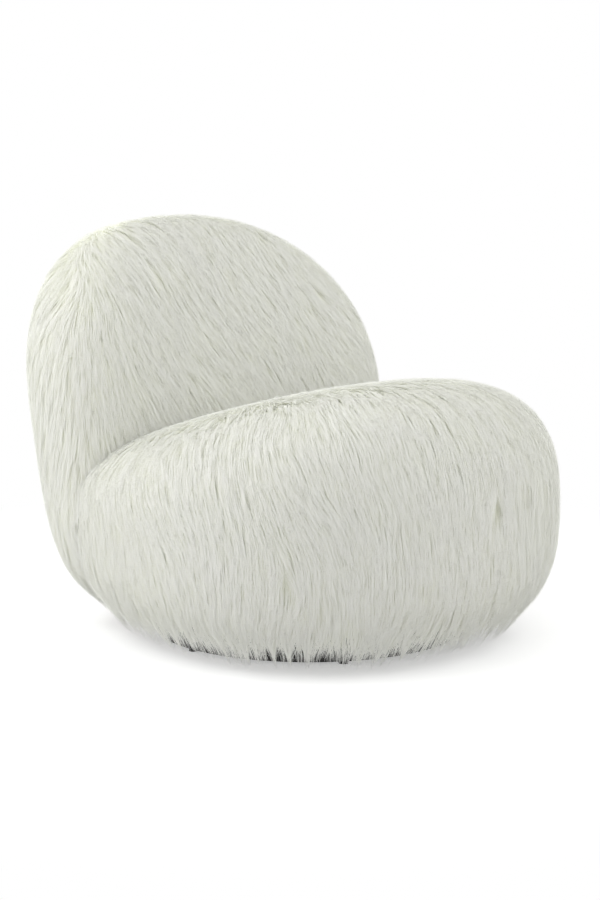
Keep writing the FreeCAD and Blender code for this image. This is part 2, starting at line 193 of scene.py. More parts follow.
def thin_out(points, spacing):
    """Some of the points, picked so that no two lie closer together than spacing."""
    tree = kdtree.KDTree(len(points))
    for number, point in enumerate(points):
        tree.insert(point, number)
    tree.balance()
    free = np.ones(len(points), bool)
    kept = []
    for number, point in enumerate(points):
        if free[number]:
            kept.append(number)
            free[[near[1] for near in tree.find_range(point, spacing)]] = False
    return points[kept]


def spread_roots(form, inset, rng):
    """Evenly spread root points over a form: many random ones by area, then thinned out."""
    rows, columns = 160, 240
    latitudes = np.radians(np.linspace(-86, 89.5, rows + 1))
    angles = np.linspace(0, 2 * math.pi, columns + 1)
    grid = surface_point(form, latitudes[:, None], angles[None, :], inset)
    side_a = grid[1:, :-1] - grid[:-1, :-1]
    side_b = grid[:-1, 1:] - grid[:-1, :-1]
    area = np.linalg.norm(np.cross(side_a, side_b), axis=-1).ravel()
    count = int(7 * area.sum() / LOCK_SPACING ** 2)
    cell = rng.choice(area.size, count, p=area / area.sum())
    latitude = latitudes[cell // columns] + rng.uniform(0, 1, count) * (latitudes[1] - latitudes[0])
    angle = angles[cell % columns] + rng.uniform(0, 1, count) * (angles[1] - angles[0])
    points = settle(form, surface_point(form, latitude, angle, inset), inset)
    return thin_out(points, LOCK_SPACING * 0.80)


def drift(points, size, seed):
    """Smooth noise between about -1 and 1, from a few crossing waves of a given size."""
    rng = np.random.default_rng(seed)
    total = np.zeros(points.shape[:-1])
    for _ in range(6):
        direction = unit(rng.normal(size=3))
        length = size * rng.uniform(0.7, 1.6)
        total += np.sin(points @ direction * 2 * math.pi / length + rng.uniform(0, 6.283))
    return total / 2.5


def smooth(value, low, high):
    """0 below low, 1 above high, and a smooth ramp between."""
    share = np.clip((value - low) / (high - low), 0, 1)
    return share * share * (3 - 2 * share)


def whorled(points, way):
    """A combing direction that spreads apart round a few small whorls."""
    for centre in WHORLS:
        away = points - np.array(centre)
        distance = np.linalg.norm(away, axis=-1, keepdims=True)
        fading = np.exp(-(distance / WHORL_SIZE) ** 2)
        way = way + WHORL_STRENGTH * away / np.maximum(distance, 1e-4) * fading
    return way


def seat_comb(points):
    """The seat's pile is combed outwards and forwards over its top, and down its sides."""
    top = smooth(points[..., 2], 0.10, 0.30)[..., None]
    parting_y = 0.26
    outward = points - np.array([0.0, parting_y, 0.0])
    outward[..., 2] = 0
    down = np.array([0.0, 0.0, -1.0])
    return whorled(points, down * 0.8 + unit(outward) * top * 0.9)


def back_comb(points):
    """The back's pile falls from its crown, and slants a little across its front."""
    x, y, z = points[..., 0], points[..., 1], points[..., 2]
    ridge = BACK["centre_y"] + BACK["slope"] * (z - BACK["waist"]) - BACK["wrap"] * x * x
    front = smooth(ridge - y, -0.02, 0.12) * smooth(x, -0.42, -0.05)
    top = smooth(z, 0.50, 0.68)
    middle = smooth(0.34 - np.abs(x), 0.0, 0.18)
    slant, parting_y = 0.42, ridge + 0.050
    way = np.zeros(points.shape)
    way[..., 0] = slant * front * (1 - 0.7 * top) + 0.3 * top * x
    way[..., 1] = np.clip((y - parting_y) / 0.06, -1, 1) * top * middle
    way[..., 2] = -1
    return whorled(points, way)


def guides(form, comb, roots, lengths, seed):
    """The paths of the locks over the backing: points, normals and sideways directions."""
    points = roots.copy()
    step = (lengths / GUIDE_STEPS)[:, None]
    stray = np.random.default_rng(seed + 5).normal(0, 0.04, len(roots))
    path, normals, sides = [], [], []
    for _ in range(GUIDE_STEPS + 1):
        free = 0.65 * smooth(HANG_HEIGHT - points[:, 2], 0.0, 0.05)[:, None]
        outward = points - np.array([0.0, SWIVEL_Y, 0.0])
        outward[:, 2] = 0
        normal = unit(slope_of(form, points, UNDERFUR_DEPTH))
        normal = unit(normal * (1 - free) + unit(outward) * free)
        way = comb(points)
        way = unit(way - normal * (way * normal).sum(-1, keepdims=True))
        side = np.cross(normal, way)
        turn = stray + 0.11 * drift(points, 0.16, seed) + 0.08 * drift(points, 0.05, seed + 1)
        way = unit(way + side * turn[:, None])
        side = np.cross(normal, way)
        path.append(points)
        normals.append(normal)
        sides.append(side)
        ahead = points + way * step
        points = ahead * free + settle(form, ahead, UNDERFUR_DEPTH, rounds=1) * (1 - free)
    return np.stack(path, 1), np.stack(normals, 1), np.stack(sides, 1)


def along_path(values, places):
    """Values at the guide steps read at places between 0 and 1, per strand."""
    spot = np.clip(places, 0, 1) * GUIDE_STEPS
    low = np.minimum(spot.astype(int), GUIDE_STEPS - 1)
    share = (spot - low)[..., None]
    lock = np.arange(values.shape[0])[:, None, None]
    return values[lock, low] * (1 - share) + values[lock, low + 1] * share


def strand_traits(locks, rng):
    """What sets the strands of a lock apart: place in the lock, height, waviness and pull."""
    shape = (locks, STRANDS_PER_LOCK)
    radius = LOCK_RADIUS * np.sqrt(rng.uniform(0, 1, shape))
    heading = rng.uniform(0, 2 * math.pi, shape)
    fly_away = np.where(rng.uniform(0, 1, shape) < 0.04, rng.uniform(0.05, 0.35, shape), 0.0)
    return {
        "across": radius * np.cos(heading),
        "ahead": radius * np.sin(heading),
        "reach": rng.uniform(0.72, 1.0, shape),
        "pull": rng.uniform(0.0, 0.30, (locks, 1)),
        "height": rng.uniform(0.99, 1.02, (locks, 1)) - 0.12 * rng.uniform(0, 1, shape) ** 2 + fly_away,
        "wave": rng.uniform(0.0003, 0.0013, shape),
        "phase": rng.uniform(0, 2 * math.pi, shape),
        "turns": rng.uniform(0.6, 1.8, shape),
    }


def place_strands(guide, traits, places):
    """Points and surface normals of the strands at places from 0, the root, to 1, the tip."""
    path, normals, sides = guide
    normal = unit(along_path(normals, places))
    side = unit(along_path(sides, places))
    way = np.cross(side, normal)
    pull = 1 - traits["pull"][..., None] * smooth(places, 0.25, 1.1)
    wave = traits["wave"][..., None] * places
    wave = wave * np.sin(traits["phase"][..., None] + places * traits["turns"][..., None] * 2 * math.pi)
    sideways = traits["across"][..., None] * pull + wave
    lay = PILE_LIFT * traits["height"][..., None] * (1 - (1 - places) ** 2.6)
    points = along_path(path, places) + side * sideways[..., None] + normal * lay[..., None]
    return points + way * (traits["ahead"][..., None] * pull)[..., None], normal


def thin_places(points):
    """1 in a few uneven places round the hem, where the fringe is short, and 0 elsewhere."""
    return smooth(drift(points * [1, 1, 0], THIN_PLACE_SIZE, HEM_SEED), 0.30, 0.75)


def trim(form, guide, traits, rng):
    """Shorten the strands that would pass the floor or leave the form near the floor."""
    ends = np.broadcast_to([0.0, 1.0], traits["reach"].shape + (2,)) * traits["reach"][..., None]
    points, _ = place_strands(guide, traits, ends)
    root, tip = points[..., 0, :], points[..., 1, :]
    clearance = rng.uniform(*FLOOR_CLEARANCE, root.shape[:-1])
    chance = rng.uniform(0.0, 1.0, root.shape[:-1])
    clearance = clearance + THIN_PLACE_CUT * thin_places(tip) * chance ** 1.5
    drop = np.maximum(root[..., 2] - tip[..., 2], 1e-4)
    share = np.clip((root[..., 2] - clearance) / drop, 0.12, 1)
    low = tip[..., 2] < HANG_HEIGHT * 0.8
    inside, outside = level(form, root, 0), level(form, tip, 0)
    limit = rng.uniform(1.02, 1.12, inside.shape)
    fitting = np.clip((limit - inside) / np.maximum(outside - inside, 1e-4), 0.15, 1)
    share = np.where(low, np.minimum(share, fitting), share)
    traits["reach"] = traits["reach"] * share


def gather(points, seed):
    """Draw the fringe together into tufts near the floor, so that gaps open between them."""
    rng = np.random.default_rng(seed)
    strength = rng.uniform(0.05, 0.95, TUFT_COUNT)
    x, y = points[..., 0], points[..., 1] - SWIVEL_Y
    angle = np.arctan2(y, x)
    per_radian = TUFT_COUNT / (2 * math.pi)
    spot = angle * per_radian + 0.55 * np.sin(5 * angle) + 0.35 * np.sin(11 * angle + 2)
    tuft = np.round(spot[..., :1] + rng.normal(0, 0.22, spot.shape[:2] + (1,)))
    pull = strength[tuft.astype(int) % TUFT_COUNT] * smooth(0.085 - points[..., 2], 0.0, 0.060)
    pull = pull * rng.uniform(0.5, 1.0, spot.shape[:2] + (1,))
    turn = -np.clip(spot - tuft, -0.6, 0.6) * pull / per_radian
    points[..., 0] = x * np.cos(turn) - y * np.sin(turn)
    points[..., 1] = x * np.sin(turn) + y * np.cos(turn) + SWIVEL_Y
    return points


def keep_clear(points):
    """Strand points moved clear of the plinth and of the floor."""
    outward = points[..., :2] - np.array([0.0, SWIVEL_Y])
    distance = np.linalg.norm(outward, axis=-1)
    low = points[..., 2] < PLINTH_TOP + 0.004
    near = PLINTH_RADIUS + 0.003
    push = np.where(low & (distance < near), near / np.maximum(distance, 1e-6), 1.0)
    points[..., :2] = np.array([0.0, SWIVEL_Y]) + outward * push[..., None]
    points[..., 2] = np.maximum(points[..., 2], FLOOR_CLEARANCE[0])
    return points


def grow_strands(form, other, comb, seed):
    """Centre lines and surface normals of all strands on one form."""
    rng = np.random.default_rng(seed)
    roots = spread_roots(form, UNDERFUR_DEPTH, rng)
    roots = roots[(level(other, roots, UNDERFUR_DEPTH) > 0.97) & (roots[:, 2] > SKIN_HEM)]
    extra = HEM_EXTRA_LENGTH * smooth(0.17 - roots[:, 2], 0.0, 0.08)
    lengths = rng.uniform(*FUR_LENGTH, len(roots)) * (1 + extra)
    guide = guides(form, comb, roots, lengths, seed)
    traits = strand_traits(len(roots), rng)
    trim(form, guide, traits, rng)
    places = np.linspace(0, 1, STRAND_SEGMENTS + 1) * traits["reach"][..., None]
    points, normal = place_strands(guide, traits, places)
    points = push_out(other, points, UNDERFUR_DEPTH - 0.004)
    return keep_clear(gather(points, seed + 9)), normal, rng


def ribbons(points, normal, rng):
    """Flat tapering ribbons along the strands: vertices, and normals rounded across them."""
    way = unit(np.gradient(points, axis=2))
    side = unit(np.cross(normal, way))
    lift = np.cross(way, side)
    roll = rng.normal(0, 0.15, points.shape[:2])[..., None, None]
    tilted = side * np.cos(roll) + lift * np.sin(roll)
    width = STRAND_WIDTH * rng.uniform(0.6, 1.35, points.shape[:2])[..., None]
    share = np.linspace(0, 1, points.shape[2])
    half = (width / 2 * (1 - 0.8 * share ** 1.8))[..., None]
    vertices = np.stack([points - tilted * half, points + tilted * half], 3)
    facing = unit(normal * 0.8 + np.cross(way, tilted) * 0.2)
    shading = unit(np.stack([facing - tilted * 0.2, facing + tilted * 0.2], 3))
    return vertices.reshape(-1, 3), shading.reshape(-1, 3)


def ribbon_faces(strands):
    """Vertex numbers of the faces of that many ribbons, which face away from the backing."""
    ring = np.arange(STRAND_SEGMENTS) * 2
    one = np.stack([ring, ring + 2, ring + 3, ring + 1], -1)
    start = np.arange(strands) * 2 * (STRAND_SEGMENTS + 1)
    return (one[None] + start[:, None, None]).reshape(-1, 4)


def quads_object(name, vertices, faces, uv=None):
    """A mesh object of four-sided faces."""
    mesh = bpy.data.meshes.new(name)
    mesh.vertices.add(len(vertices))
    mesh.vertices.foreach_set("co", vertices.astype(np.float32).ravel())
    mesh.loops.add(faces.size)
    mesh.loops.foreach_set("vertex_index", faces.astype(np.int32).ravel())
    mesh.polygons.add(len(faces))
    mesh.polygons.foreach_set("loop_start", np.arange(0, faces.size, 4, dtype=np.int32))
    mesh.update(calc_edges=True)
    mesh.polygons.foreach_set("use_smooth", np.ones(len(faces), bool))
    if uv is not None:
        layer = mesh.uv_layers.new(name="OFBake")
        layer.data.foreach_set("uv", uv.astype(np.float32).ravel())
    obj = bpy.data.objects.new(name, mesh)
    bpy.context.scene.collection.objects.link(obj)
    return obj


def strand_uv(strands, rng):
    """Each ribbon runs from root to tip along one of 64 thin bands of the map."""
    band = rng.integers(0, UV_BANDS, strands)
    low = (band + 0.2) / UV_BANDS
    high = (band + 0.8) / UV_BANDS
    share = np.linspace(0.01, 0.99, STRAND_SEGMENTS + 1)
    uv = np.empty((strands, STRAND_SEGMENTS, 4, 2))
    for corner, (step, edge) in enumerate(((0, low), (1, low), (1, high), (0, high))):
        uv[:, :, corner, 0] = share[step:STRAND_SEGMENTS + step]
        uv[:, :, corner, 1] = edge[:, None]
    return uv


def make_fur(prefix, form, other, comb, seed, material):
    """The strands of one form, in pieces of a manageable size."""
    points, normal, rng = grow_strands(form, other, comb, seed)
    vertices, shading = ribbons(points, normal, rng)
    strands = points.shape[0] * points.shape[1]
    per_strand = 2 * (STRAND_SEGMENTS + 1)
    for number, start in enumerate(range(0, strands, STRANDS_PER_PIECE)):
        size = min(STRANDS_PER_PIECE, strands - start)
        span = slice(start * per_strand, (start + size) * per_strand)
        uv = strand_uv(size, rng)
        obj = quads_object(f"{prefix}_{number + 1}", vertices[span], ribbon_faces(size), uv)
        obj.data.normals_split_custom_set_from_vertices(shading[span].astype(np.float32))
        obj.data.materials.append(material)
        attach(obj, "chair")
    print(prefix, points.shape[0], "locks,", strands, "strands")


def make_skin(name, form, other, node, material):
    """The backing cloth of one form, without what lies hidden inside the other form."""
    rows, columns = 90, 144
    latitudes = np.radians(np.linspace(-89, 89.5, rows + 1))
    angles = np.arange(columns) * 2 * math.pi / columns
    grid = surface_point(form, latitudes[:, None], angles[None, :], UNDERFUR_DEPTH)
    points = grid.reshape(-1, 3)
    points[:, 2] = np.maximum(points[:, 2], SKIN_HEM)
    row, column = np.meshgrid(np.arange(rows), np.arange(columns), indexing="ij")
    after = (column + 1) % columns
    faces = np.stack([
        row * columns + column, row * columns + after,
        (row + 1) * columns + after, (row + 1) * columns + column,
    ], -1).reshape(-1, 4)
    hidden = level(other, points, UNDERFUR_DEPTH + 0.012) < 1
    distance = np.hypot(points[:, 0], points[:, 1] - SWIVEL_Y)
    hidden |= (distance < PLINTH_RADIUS + 0.010) & (points[:, 2] < 0.093)
    faces = faces[~hidden[faces].all(1)]
    used = np.unique(faces)
    renumber = np.zeros(len(points), int)
    renumber[used] = np.arange(len(used))
    obj = quads_object(name, points[used], renumber[faces])
    obj.data.materials.append(material)
    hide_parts(node)
    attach(obj, "chair")
    return obj


def dust_cover():
    """Black cloth stretched under the seat board, open in the middle for the swivel."""
    spokes, rings = 96, 8
    half_opening, z = 0.085, BOARD_BOTTOM - 0.0004
    angle = np.arange(spokes) * 2 * math.pi / spokes
    square = half_opening / np.maximum(np.abs(np.cos(angle)), np.abs(np.sin(angle)))
    share = np.linspace(0, 1, rings + 1)[:, None]
    radius = square * (1 - share) + (PLINTH_RADIUS - 0.001) * share
    points = np.stack([radius * np.cos(angle), radius * np.sin(angle) + SWIVEL_Y, radius * 0 + z], -1)
    ring, spoke = np.meshgrid(np.arange(rings), np.arange(spokes), indexing="ij")
    after = (spoke + 1) % spokes
    faces = np.stack([
        ring * spokes + spoke, ring * spokes + after,
        (ring + 1) * spokes + after, (ring + 1) * spokes + spoke,
    ], -1).reshape(-1, 4)
    obj = quads_object("dust_cover_cloth", points.reshape(-1, 3), faces)
    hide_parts("dust_cover")
    return finish_piece(obj, "black_nonwoven")


def leaned(points):
    """Points of the flat back frame, with z up along it, moved to its leaning place."""
    lean = math.radians(BACK_LEAN)
    x, y, z = points[..., 0], points[..., 1], points[..., 2]
    foot_y = BACK["centre_y"] - 0.005 + BACK["slope"] * (FRAME_FOOT - BACK["waist"])
    return np.stack([
        x, y * math.cos(lean) + z * math.sin(lean) + foot_y,
        z * math.cos(lean) - y * math.sin(lean) + FRAME_FOOT,
    ], -1)


def strap_section(width, thickness):
    """Outline of a woven strap: thin in the middle and a little thicker at its two selvedges."""
    across = np.array([0.0, 0.02, 0.08, 0.14, 0.5, 0.86, 0.92, 0.98]) * width
    swell = np.array([0.25, 0.85, 1.0, 0.72, 0.72, 0.72, 1.0, 0.85]) * thickness / 2
    last = np.array([[width, -0.25 * thickness / 2]])
    low = np.stack([across, -swell], -1)
    high = np.stack([across[::-1], swell[::-1]], -1)
    return np.concatenate([low, last, last * [1, -1], high])


def back_straps():
    """Six webbing straps stapled across the front of the back frame."""
    half_frame, post_length = 0.190, 0.380
    width, thickness = 0.050, 0.002
    section = strap_section(width, thickness * 0.96)
    steps = 40
    vertices, faces = [], []
    for height in STRAP_HEIGHTS:
        rise = max(height + width - post_length, 0)
        reach = math.sqrt(half_frame ** 2 - rise ** 2) - 0.0005
        x = np.linspace(-reach, reach, steps + 1)
        first = len(vertices) * len(section) * (steps + 1)
        flat = np.empty((steps + 1, len(section), 3))
        flat[..., 0] = x[:, None]
        flat[..., 1] = -0.025 - thickness / 2 + section[:, 1]
        flat[..., 2] = height + section[:, 0]
        vertices.append(leaned(flat).reshape(-1, 3))
        faces.append(first + tube_faces(steps, len(section)))
    obj = quads_object("back_straps", np.concatenate(vertices), np.concatenate(faces))
    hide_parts("back_webbing")
    return finish_piece(obj, "webbing")


def tube_faces(steps, corners):
    """Faces of a tube with that many steps along it and corners round it."""
    step, corner = np.meshgrid(np.arange(steps), np.arange(corners), indexing="ij")
    after = (corner + 1) % corners
    return np.stack([
        step * corners + corner, step * corners + after,
        (step + 1) * corners + after, (step + 1) * corners + corner,
    ], -1).reshape(-1, 4)


def finish_piece(obj, slot):
    """Give a chair piece the material of its slot and fix it to the chair."""
    obj.data.materials.append(materials[slot])
    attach(obj, "chair")
    return obj


def softened(node, slot, voxel, rounds):
    """A soft-edged copy of a foam or felt solid, remeshed and smoothed."""
    rough = bpy.data.objects.new(node + "_rough", frame["nodes"][node].data.copy())
    bpy.context.scene.collection.objects.link(rough)
    remesh = rough.modifiers.new("remesh", "REMESH")
    remesh.mode = "VOXEL"
    remesh.voxel_size = voxel
    soften = rough.modifiers.new("soften", "SMOOTH")
    soften.factor = 0.5
    soften.iterations = rounds
    graph = bpy.context.evaluated_depsgraph_get()
    mesh = bpy.data.meshes.new_from_object(rough.evaluated_get(graph))
    bpy.data.objects.remove(rough)
    mesh.materials.clear()
    mesh.polygons.foreach_set("use_smooth", np.ones(len(mesh.polygons), bool))
    obj = bpy.data.objects.new(node + "_cut", mesh)
    bpy.context.scene.collection.objects.link(obj)
    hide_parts(node)
    return finish_piece(obj, slot)


def new_material(name):
    """An empty node material with its tree and shader."""
    material = bpy.data.materials.new(name)
    material.use_nodes = True
    tree = material.node_tree
    shader = next(node for node in tree.nodes if node.type == "BSDF_PRINCIPLED")
    return material, tree, shader


def object_place(tree, stretch=(1, 1, 1)):
    """Coordinates in metres on the object, stretched along its axes."""
    place = tree.nodes.new("ShaderNodeTexCoord")
    mapping = tree.nodes.new("ShaderNodeMapping")
    mapping.inputs["Scale"].default_value = stretch
    tree.links.new(place.outputs["Object"], mapping.inputs["Vector"])
    return mapping.outputs["Vector"]


def noise(tree, place, scale, detail=3.0, distortion=0.0):
    """Soft mottling of a given fineness, per metre."""
    node = tree.nodes.new("ShaderNodeTexNoise")
    node.inputs["Scale"].default_value = scale
    node.inputs["Detail"].default_value = detail
    node.inputs["Distortion"].default_value = distortion
    tree.links.new(place, node.inputs["Vector"])
    return node.outputs["Fac"]


def ramp(tree, factor, dark, light, low=0.3, high=0.7):
    """A colour between dark and light."""
    node = tree.nodes.new("ShaderNodeValToRGB")
    node.color_ramp.elements[0].position = low
    node.color_ramp.elements[0].color = (*dark, 1)
    node.color_ramp.elements[1].position = high
    node.color_ramp.elements[1].color = (*light, 1)
    tree.links.new(factor, node.inputs["Fac"])
    return node.outputs["Color"]


def scaled(tree, value, low, high):
    """A value from 0 to 1 brought between low and high."""
    node = tree.nodes.new("ShaderNodeMapRange")
    node.inputs["To Min"].default_value = low
    node.inputs["To Max"].default_value = high
    tree.links.new(value, node.inputs["Value"])
    return node.outputs["Result"]


def blend_colours(tree, factor, first, second, mode="MIX"):
    """Two colours mixed by a factor, which is a number or a node's output."""
    node = tree.nodes.new("ShaderNodeMix")
    node.data_type = "RGBA"
    node.blend_type = mode
    if isinstance(factor, float):
        node.inputs["Factor"].default_value = factor
    else:
        tree.links.new(factor, node.inputs["Factor"])
    tree.links.new(first, node.inputs["A"])
    tree.links.new(second, node.inputs["B"])
    return node.outputs["Result"]


def relief(tree, shader, height, distance, strength=0.6):
    """Fine relief on the surface, as deep as distance."""
    node = tree.nodes.new("ShaderNodeBump")
    node.inputs["Strength"].default_value = strength
    node.inputs["Distance"].default_value = distance
    tree.links.new(height, node.inputs["Height"])
    tree.links.new(node.outputs["Normal"], shader.inputs["Normal"])


def wood(name, dark, light, stretch, roughness=(0.55, 0.75)):
    """Long grain with darker bands and fine pores, along the axis that stretch makes long."""
    material, tree, shader = new_material(name)
    place = object_place(tree, stretch)
    bands = noise(tree, place, 14, 6.0, 1.2)
    pores = noise(tree, place, 120, 2.0)
    grain = ramp(tree, bands, dark, light, 0.35, 0.62)
    fleck = ramp(tree, pores, (0.72, 0.68, 0.62), (1, 1, 1), 0.28, 0.45)
    tree.links.new(blend_colours(tree, 0.55, grain, fleck, "MULTIPLY"), shader.inputs["Base Color"])
    tree.links.new(scaled(tree, pores, roughness[1], roughness[0]), shader.inputs["Roughness"])
    relief(tree, shader, pores, 0.0003)
    return material


def painted_wood():
    """Satin black paint over wood: faint grain, fine orange peel, dust and scuffs near the floor."""
    material, tree, shader = new_material("black_painted_wood")
    place = object_place(tree)
    mottle = noise(tree, place, 35, 4.0)
    peel = noise(tree, place, 900, 1.0)
    paint = ramp(tree, mottle, (0.012, 0.012, 0.012), (0.03, 0.029, 0.028))
    streaks = noise(tree, object_place(tree, (1, 1, 4)), 60, 5.0)
    scuff = ramp(tree, streaks, (0, 0, 0), (1, 1, 1), 0.60, 0.72)
    height = tree.nodes.new("ShaderNodeSeparateXYZ")
    tree.links.new(place, height.inputs[0])
    low = tree.nodes.new("ShaderNodeMapRange")
    low.inputs["From Min"].default_value = 0.030
    low.inputs["From Max"].default_value = 0.004
    tree.links.new(height.outputs["Z"], low.inputs["Value"])
    worn = tree.nodes.new("ShaderNodeMath")
    worn.operation = "MULTIPLY"
    tree.links.new(scuff, worn.inputs[0])
    tree.links.new(low.outputs["Result"], worn.inputs[1])
    dusty = ramp(tree, peel, (0.06, 0.057, 0.052), (0.10, 0.095, 0.088))
    colour = blend_colours(tree, worn.outputs["Value"], paint, dusty)
    tree.links.new(colour, shader.inputs["Base Color"])
    tree.links.new(scaled(tree, mottle, 0.38, 0.55), shader.inputs["Roughness"])
    relief(tree, shader, peel, 0.00015, 0.4)
    return material


def metal(name, dark, light, roughness, scale=45, brushed=(1, 1, 1)):
    """Metal with cloudy plating and fine marks."""
    material, tree, shader = new_material(name)
    clouds = noise(tree, object_place(tree), scale, 4.0, 0.6)
    marks = noise(tree, object_place(tree, brushed), 700, 2.0)
    tree.links.new(ramp(tree, clouds, dark, light), shader.inputs["Base Color"])
    tree.links.new(scaled(tree, clouds, *roughness), shader.inputs["Roughness"])
    shader.inputs["Metallic"].default_value = 1.0
    relief(tree, shader, marks, 0.00005, 0.35)
    return material


def plastic(name, dark, light, roughness):
    """Moulded plastic with a fine spark-eroded texture and slight shading in the melt."""
    material, tree, shader = new_material(name)
    place = object_place(tree)
    melt = noise(tree, place, 30, 3.0, 1.0)
    spark = noise(tree, place, 1800, 2.0)
    tree.links.new(ramp(tree, melt, dark, light), shader.inputs["Base Color"])
    tree.links.new(scaled(tree, spark, *roughness), shader.inputs["Roughness"])
    relief(tree, shader, spark, 0.0001, 0.5)
    return material


def foam(name, dark, light):
    """Cut foam: open cells about 1 mm wide with painted shade in their pits, and colour that has yellowed
    unevenly.
    """
    material, tree, shader = new_material(name)
    place = object_place(tree)
    cells = tree.nodes.new("ShaderNodeTexVoronoi")
    cells.inputs["Scale"].default_value = 900
    tree.links.new(place, cells.inputs["Vector"])
    aged = ramp(tree, noise(tree, place, 9, 3.0), dark, light)
    # Painted shade: the colour darkens in the pits of the cells, where the bump sinks.
    painted_pit_shade = ramp(tree, cells.outputs["Distance"], (0.72, 0.70, 0.62), (1, 1, 1), 0.1, 0.5)
    tree.links.new(blend_colours(tree, 0.8, aged, painted_pit_shade, "MULTIPLY"), shader.inputs["Base Color"])
    shader.inputs["Roughness"].default_value = 0.95
    shader.inputs["Specular IOR Level"].default_value = 0.2
    relief(tree, shader, cells.outputs["Distance"], 0.0006)
    return material


def felted(name, dark, light, scale=420):
    """Matted fibres in all directions, as in felt and nonwoven cloth."""
    material, tree, shader = new_material(name)
    place = object_place(tree)
    fibres = noise(tree, place, scale, 6.0, 3.0)
    clumps = noise(tree, place, scale / 12, 2.0)
    fine = ramp(tree, fibres, dark, light)
    broad = ramp(tree, clumps, (0.8, 0.8, 0.8), (1, 1, 1))
    tree.links.new(blend_colours(tree, 0.7, fine, broad, "MULTIPLY"), shader.inputs["Base Color"])
    shader.inputs["Roughness"].default_value = 0.97
    shader.inputs["Specular IOR Level"].default_value = 0.15
    relief(tree, shader, fibres, 0.0004)
    return material


def woven(name, dark, light):
    """Plain-woven strap: warp and weft ribs 2 mm apart, with painted shade between them."""
    material, tree, shader = new_material(name)
    place = object_place(tree)
    ribs = []
    for axis, scale in (("X", 160), ("Z", 130)):
        wave = tree.nodes.new("ShaderNodeTexWave")
        wave.bands_direction = axis
        wave.inputs["Scale"].default_value = scale
        wave.inputs["Distortion"].default_value = 0.6
        tree.links.new(place, wave.inputs["Vector"])
        ribs.append(wave.outputs["Fac"])
    cross = tree.nodes.new("ShaderNodeMath")
    cross.operation = "MULTIPLY"
    tree.links.new(ribs[0], cross.inputs[0])
    tree.links.new(ribs[1], cross.inputs[1])
    # Painted shade: darker in the hollows between the ribs, following the same height as the bump.
    yarn_with_painted_shade = ramp(tree, cross.outputs["Value"], dark, light, 0.05, 0.8)
    wear = ramp(tree, noise(tree, place, 25, 3.0), (0.75, 0.75, 0.75), (1, 1, 1))
    tree.links.new(blend_colours(tree, 0.6, yarn_with_painted_shade, wear, "MULTIPLY"), shader.inputs["Base Color"])
    shader.inputs["Roughness"].default_value = 0.85
    relief(tree, shader, cross.outputs["Value"], 0.0005)
    return material


def fur_material():
    """White fibres, creamier at the root, each a little different, that let some light through."""
    material, tree, shader = new_material("fur_fibre")
    nodes, links = tree.nodes, tree.links
    uv = nodes.new("ShaderNodeUVMap")
    uv.uv_map = "OFBake"
    split = nodes.new("ShaderNodeSeparateXYZ")
    links.new(uv.outputs["UV"], split.inputs[0])
    length = ramp(tree, split.outputs["X"], FUR_ROOT, FUR_TIP, 0.0, 0.60)
    band = nodes.new("ShaderNodeMath")
    band.operation = "MULTIPLY"
    band.inputs[1].default_value = UV_BANDS
    links.new(split.outputs["Y"], band.inputs[0])
    whole = nodes.new("ShaderNodeMath")
    whole.operation = "FLOOR"
    links.new(band.outputs["Value"], whole.inputs[0])
    chance = nodes.new("ShaderNodeTexWhiteNoise")
    chance.noise_dimensions = "1D"
    links.new(whole.outputs["Value"], chance.inputs["W"])
    shade = ramp(tree, chance.outputs["Value"], (0.965, 0.965, 0.95), (1, 1, 1), 0.0, 1.0)
    colour = blend_colours(tree, 1.0, length, shade, "MULTIPLY")
    links.new(colour, shader.inputs["Base Color"])
    shader.inputs["Roughness"].default_value = 0.6
    shader.inputs["Specular IOR Level"].default_value = 0.2
    through = nodes.new("ShaderNodeBsdfTranslucent")
    links.new(colour, through.inputs["Color"])
    mix = nodes.new("ShaderNodeMixShader")
    mix.inputs["Fac"].default_value = 0.5
    links.new(shader.outputs["BSDF"], mix.inputs[1])
    links.new(through.outputs["BSDF"], mix.inputs[2])
    output = next(node for node in nodes if node.type == "OUTPUT_MATERIAL")
    links.new(mix.outputs["Shader"], output.inputs["Surface"])
    return material


def skin_material():
    """The knitted backing cloth that shows between the roots."""
    material, tree, shader = new_material("fur_backing")
    place = object_place(tree)
    knit = noise(tree, place, 700, 3.0)
    patches = noise(tree, place, 40, 2.0)
    fine = ramp(tree, knit, (0.92, 0.925, 0.88), (0.965, 0.968, 0.94))
    broad = ramp(tree, patches, (0.97, 0.97, 0.955), (1, 1, 1))
    tree.links.new(blend_colours(tree, 1.0, fine, broad, "MULTIPLY"), shader.inputs["Base Color"])
    relief(tree, shader, knit, 0.0006)
    shader.inputs["Roughness"].default_value = 0.95
    return material


